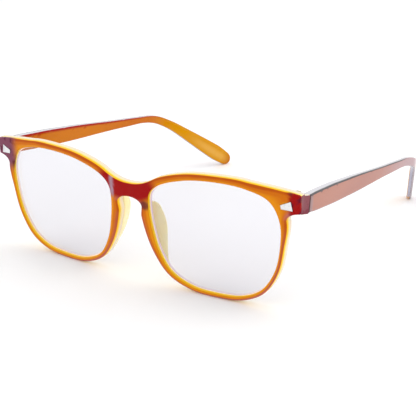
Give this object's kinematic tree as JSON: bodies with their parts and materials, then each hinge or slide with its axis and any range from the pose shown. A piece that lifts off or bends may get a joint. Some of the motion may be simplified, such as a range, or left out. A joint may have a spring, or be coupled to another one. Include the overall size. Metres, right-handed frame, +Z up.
{
  "type": "blue light glasses",
  "caption": "Square-eye spectacles with clear lenses, a laminated plastic front, bonded nose pads, corner plaques and folding temples on metal barrel hinges.",
  "frame": {"origin": "centre of the bounding box at the table the open spectacles stand on", "axes": "+Z up from the table, -Y out of the front of the lenses, +Y back along the temples, +X to the wearer's left"},
  "size_m": [0.1426, 0.1492, 0.0482],
  "materials": {
    "brown_plastic": "polished translucent brown",
    "amber_plastic": "polished translucent amber",
    "temple_plastic": "polished translucent orange brown",
    "pad_plastic": "polished translucent pale yellow",
    "lens": "clear with a faint violet coating",
    "hinge_metal": "plated, satin",
    "screw_metal": "plated, polished",
    "plaque_metal": "polished"
  },
  "bodies": {
    "front": {"front_body": "amber_plastic", "front_face_layer": "brown_plastic", "lens_left": "lens", "lens_right": "lens", "nose_pad_left": "pad_plastic", "nose_pad_right": "pad_plastic", "corner_plaque_left": "plaque_metal", "corner_plaque_right": "plaque_metal", "front_hinge_left": "hinge_metal", "front_hinge_right": "hinge_metal", "hinge_screw_left": "screw_metal", "hinge_screw_right": "screw_metal"},
    "left_temple": {"temple_left": "temple_plastic", "temple_hinge_left": "hinge_metal"},
    "right_temple": {"temple_right": "temple_plastic", "temple_hinge_right": "hinge_metal"}
  },
  "joints": [
    {"name": "left_temple_fold", "type": "hinge", "parent": "front", "child": "left_temple", "pos_m": [0.06625, -0.0647, 0.04127], "axis": [0, 0.1497, 0.9887], "range_deg": [0, 84]},
    {"name": "right_temple_fold", "type": "hinge", "parent": "front", "child": "right_temple", "pos_m": [-0.06625, -0.0647, 0.04127], "axis": [0, -0.1497, -0.9887], "range_deg": [0, 62]}
  ]
}
